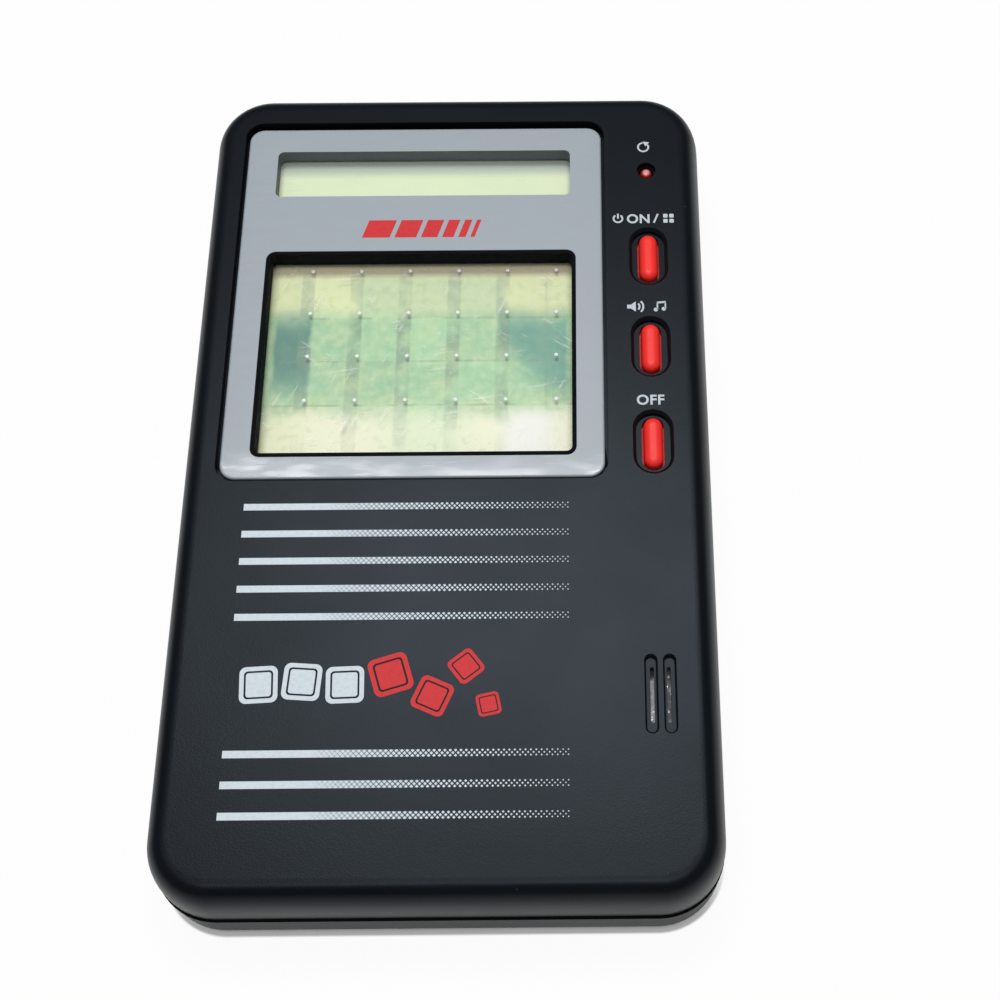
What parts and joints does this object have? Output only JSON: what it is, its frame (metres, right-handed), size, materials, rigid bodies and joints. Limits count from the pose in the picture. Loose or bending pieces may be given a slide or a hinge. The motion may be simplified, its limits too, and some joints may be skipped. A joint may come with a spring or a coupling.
{
  "type": "handheld electronic word game",
  "caption": "Flat rounded handheld word game: recessed bezel with a status display and a touch screen, pill buttons, a reset button, sound slots and a hinged battery door.",
  "frame": {"origin": "centre of the case's underside, on the surface it lies on", "axes": "+X to the button side, +Y to the end with the status display, +Z out of the face"},
  "size_m": [0.083, 0.1396, 0.0189],
  "materials": {
    "case_black": "satin",
    "rear_grey": "fine texture",
    "bezel_silver": "gloss paint",
    "clear_plastic": "clear",
    "foam": "matte",
    "adhesive": "matte",
    "dot_white": "matte",
    "tail_film": "gloss",
    "lcd_green": "gloss",
    "lcd_pale": "gloss",
    "reflector": "satin",
    "strip_rubber": "matte",
    "frame_white": "satin",
    "board_green": "satin",
    "epoxy_black": "gloss",
    "tin": "satin",
    "chip_black": "matte",
    "carbon": "matte",
    "steel": "bright",
    "button_red": "gloss",
    "silicone": "translucent",
    "brass": "bright",
    "ceramic": "silvered",
    "lead_black": "satin",
    "lead_red": "satin",
    "cell": "printed wrap"
  },
  "bodies": {
    "case": {"front_case": "case_black", "rear_case": "rear_grey", "bezel": "bezel_silver", "status_pane": "clear_plastic", "touch_gasket": "foam", "touch_film": "clear_plastic", "touch_spacer": "adhesive", "touch_dots": "dot_white", "touch_base": "clear_plastic", "touch_tail": "tail_film", "touch_socket": "frame_white", "game_lcd": "lcd_green", "game_reflector": "reflector", "game_strip": "strip_rubber", "status_lcd": "lcd_pale", "status_reflector": "reflector", "status_strip": "strip_rubber", "lcd_frame": "frame_white", "main_board": "board_green", "controller_blob": "epoxy_black", "crystal": "tin", "board_resistors": "chip_black", "board_capacitors": "tin", "key_pads": "carbon", "board_screws": "steel", "case_screws": "steel", "on_dome": "silicone", "sound_dome": "silicone", "off_dome": "silicone", "reset_dome": "silicone", "sounder_disc": "brass", "sounder_ceramic": "ceramic", "sounder_leads": "lead_black", "battery_1": "cell", "battery_2": "cell", "battery_spring": "steel", "battery_plate": "steel", "battery_bridge": "steel", "positive_lead": "lead_red", "negative_lead": "lead_black"},
    "on_button": {"on_button": "button_red", "on_contact": "carbon"},
    "sound_button": {"sound_button": "button_red", "sound_contact": "carbon"},
    "off_button": {"off_button": "button_red", "off_contact": "carbon"},
    "reset_button": {"reset_button": "button_red", "reset_contact": "carbon"},
    "battery_door": {"battery_door": "rear_grey"}
  },
  "joints": [
    {"name": "on_press", "type": "slide", "parent": "case", "child": "on_button", "axis": [0, 0, -1], "range_m": [0, 0.0008], "stiffness_N_per_m": 1000, "springref_m": -0.0005, "deforming": ["on_dome"]},
    {"name": "sound_press", "type": "slide", "parent": "case", "child": "sound_button", "axis": [0, 0, -1], "range_m": [0, 0.0008], "stiffness_N_per_m": 1000, "springref_m": -0.0005, "deforming": ["sound_dome"]},
    {"name": "off_press", "type": "slide", "parent": "case", "child": "off_button", "axis": [0, 0, -1], "range_m": [0, 0.0008], "stiffness_N_per_m": 1000, "springref_m": -0.0005, "deforming": ["off_dome"]},
    {"name": "reset_press", "type": "slide", "parent": "case", "child": "reset_button", "axis": [0, 0, -1], "range_m": [0, 0.0008], "stiffness_N_per_m": 1000, "springref_m": -0.0005, "deforming": ["reset_dome"]},
    {"name": "door_hinge", "type": "hinge", "parent": "case", "child": "battery_door", "pos_m": [-0.004, -0.02625, 0.00105], "axis": [1, 0, 0], "range_deg": [0, 80]}
  ]
}
